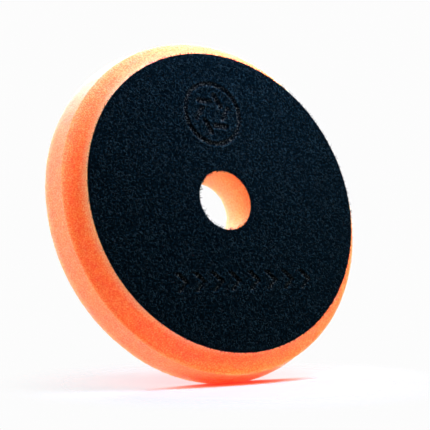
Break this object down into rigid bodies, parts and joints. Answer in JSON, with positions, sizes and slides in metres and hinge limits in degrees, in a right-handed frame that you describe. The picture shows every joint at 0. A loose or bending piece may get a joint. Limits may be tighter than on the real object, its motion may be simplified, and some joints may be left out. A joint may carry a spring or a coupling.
{
  "type": "polishing pad",
  "caption": "Round soft foam polishing pad with a bevelled rim, a central hole and a dark loop backing disc that grips a hook-faced backing plate.",
  "frame": {"origin": "centre of the loop face, on the axis of the central hole", "axes": "-Y is the outward normal of the loop face, +Y the outward normal of the working face, +Z the upright direction of the pressed marks"},
  "size_m": [0.1714, 0.0235, 0.1714],
  "materials": {
    "foam": "matte fine-celled open polyurethane foam",
    "film": "hot-melt adhesive film",
    "loop_fabric": "brushed loop pile, heat-embossed marks"
  },
  "bodies": {
    "root": {"foam_body": "foam", "adhesive_film": "film", "loop_backing": "loop_fabric"}
  },
  "joints": []
}
